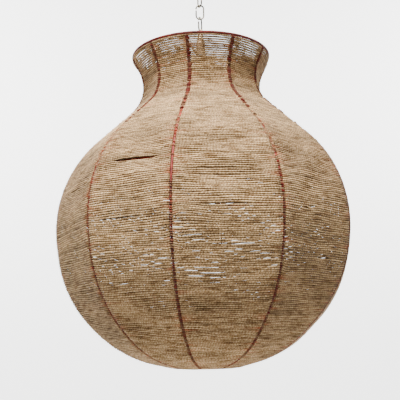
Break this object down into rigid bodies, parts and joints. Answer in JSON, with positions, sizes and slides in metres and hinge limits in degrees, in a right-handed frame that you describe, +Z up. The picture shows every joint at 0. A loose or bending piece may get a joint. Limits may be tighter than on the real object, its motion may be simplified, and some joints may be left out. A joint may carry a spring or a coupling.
{
  "type": "pendant lantern",
  "caption": "Bulbous twine-wound wire pendant lantern with a narrow neck and flared open rim, hanging on a short steel chain from a ceiling hook.",
  "frame": {"origin": "middle of the ceiling plate's upper face, which meets the ceiling", "axes": "+Z up, towards the ceiling; the ceiling hook bends in the XZ plane and its mouth faces -X"},
  "size_m": [0.4944, 0.4935, 0.6897],
  "materials": {
    "jute_twine": "natural jute twine, matt and hairy",
    "oxide_red_wire": "brushed oxide-red primer paint on steel wire",
    "plated_steel": "plated steel wire, dulled",
    "white_painted_steel": "white satin paint",
    "zinc_steel": "zinc plated",
    "brass_fitting": "dull brass",
    "black_phenolic": "moulded phenolic, satin",
    "white_porcelain": "glazed white ceramic",
    "brass_contact": "pressed brass",
    "solder": "solder, dull",
    "black_glass": "fused black glass",
    "bulb_aluminium": "rolled bright aluminium",
    "frosted_glass": "blown glass, frosted inside"
  },
  "bodies": {
    "ceiling": {"ceiling_plate": "white_painted_steel", "ceiling_hook": "plated_steel"},
    "upper_link": {"chain_link_3": "plated_steel"},
    "middle_link": {"chain_link_2": "plated_steel"},
    "lower_link": {"chain_link_1": "plated_steel"},
    "lantern": {"hanging_loop": "brass_fitting", "threaded_nipple": "zinc_steel", "upper_nut": "zinc_steel", "lower_nut": "zinc_steel", "upper_washer": "zinc_steel", "lower_washer": "zinc_steel", "hub_plate": "zinc_steel", "spider_arm_1": "oxide_red_wire", "spider_arm_2": "oxide_red_wire", "spider_arm_3": "oxide_red_wire", "rim_ring": "oxide_red_wire", "base_ring": "oxide_red_wire", "belly_hoop": "oxide_red_wire", "rib_01": "oxide_red_wire", "rib_02": "oxide_red_wire", "rib_03": "oxide_red_wire", "rib_04": "oxide_red_wire", "rib_05": "oxide_red_wire", "rib_06": "oxide_red_wire", "rib_07": "oxide_red_wire", "rib_08": "oxide_red_wire", "rib_09": "oxide_red_wire", "rib_10": "oxide_red_wire", "twine_panel_01": "jute_twine", "twine_panel_02": "jute_twine", "twine_panel_03": "jute_twine", "twine_panel_04": "jute_twine", "twine_panel_05": "jute_twine", "twine_panel_06": "jute_twine", "twine_panel_07": "jute_twine", "twine_panel_08": "jute_twine", "twine_panel_09": "jute_twine", "twine_panel_10": "jute_twine", "holder_cap": "black_phenolic", "holder_shell": "black_phenolic", "holder_insert": "white_porcelain", "terminal_screws": "brass_contact", "screw_sleeve": "brass_contact", "centre_contact": "brass_contact"},
    "bulb": {"bulb_contact": "solder", "bulb_insulator": "black_glass", "bulb_cap": "bulb_aluminium", "bulb_glass": "frosted_glass"}
  },
  "joints": [
    {"name": "upper_link_swing", "type": "hinge", "parent": "ceiling", "child": "upper_link", "pos_m": [0, 0, -0.03609], "axis": [1, 0, 0], "range_deg": [-25, 25]},
    {"name": "middle_link_swing", "type": "hinge", "parent": "upper_link", "child": "middle_link", "pos_m": [0, 0, -0.05899], "axis": [-0.4695, 0.8829, 0], "range_deg": [-25, 25]},
    {"name": "lower_link_swing", "type": "hinge", "parent": "middle_link", "child": "lower_link", "pos_m": [0, 0, -0.08259], "axis": [0.9976, 0.0698, 0], "range_deg": [-25, 25]},
    {"name": "lantern_swing", "type": "hinge", "parent": "lower_link", "child": "lantern", "pos_m": [0, 0, -0.10619], "axis": [0.3907, 0.9205, 0], "range_deg": [-30, 30]},
    {"name": "bulb_removal", "type": "slide", "parent": "lantern", "child": "bulb", "axis": [0, 0, -1], "range_m": [0, 0.06]}
  ]
}
